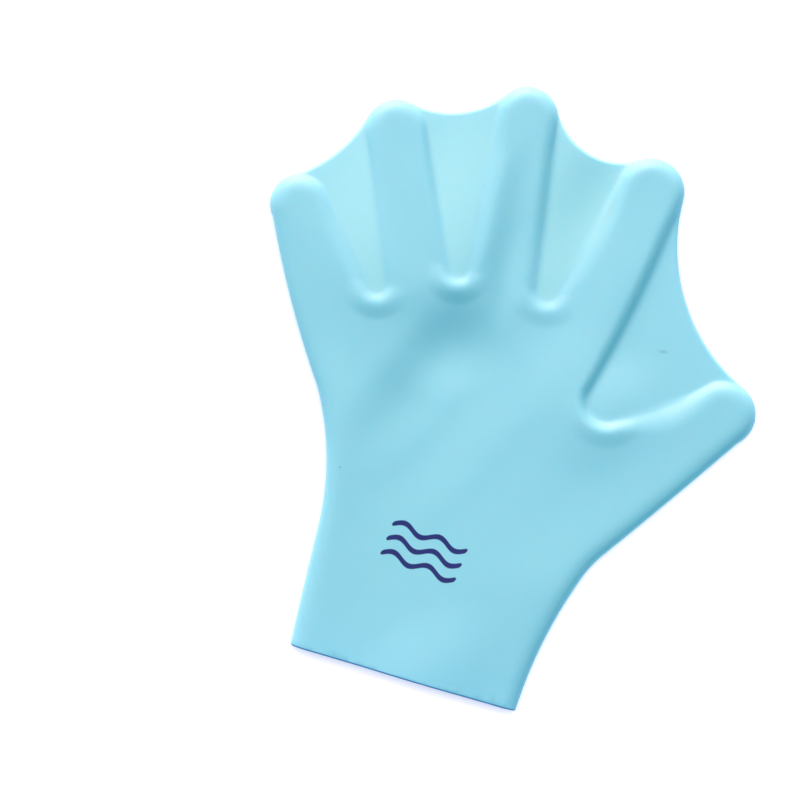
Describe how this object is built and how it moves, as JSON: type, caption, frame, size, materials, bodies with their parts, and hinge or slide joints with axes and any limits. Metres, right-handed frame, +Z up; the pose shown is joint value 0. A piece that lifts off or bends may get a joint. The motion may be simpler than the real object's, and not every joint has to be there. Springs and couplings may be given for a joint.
{
  "type": "webbed swim glove",
  "caption": "Hollow silicone swim glove with webbing between spread fingers and an open cuff, used as a hand paddle, lying palm down.",
  "frame": {"origin": "centre of the glove's bounding box, on the flat underside that it lies on", "axes": "+X towards the thumb, +Y from the cuff to the middle fingertip, +Z up through the back of the hand"},
  "size_m": [0.1818, 0.2146, 0.013],
  "materials": {
    "silicone": "satin"
  },
  "bodies": {
    "root": {"glove_shell": "silicone"}
  },
  "joints": []
}
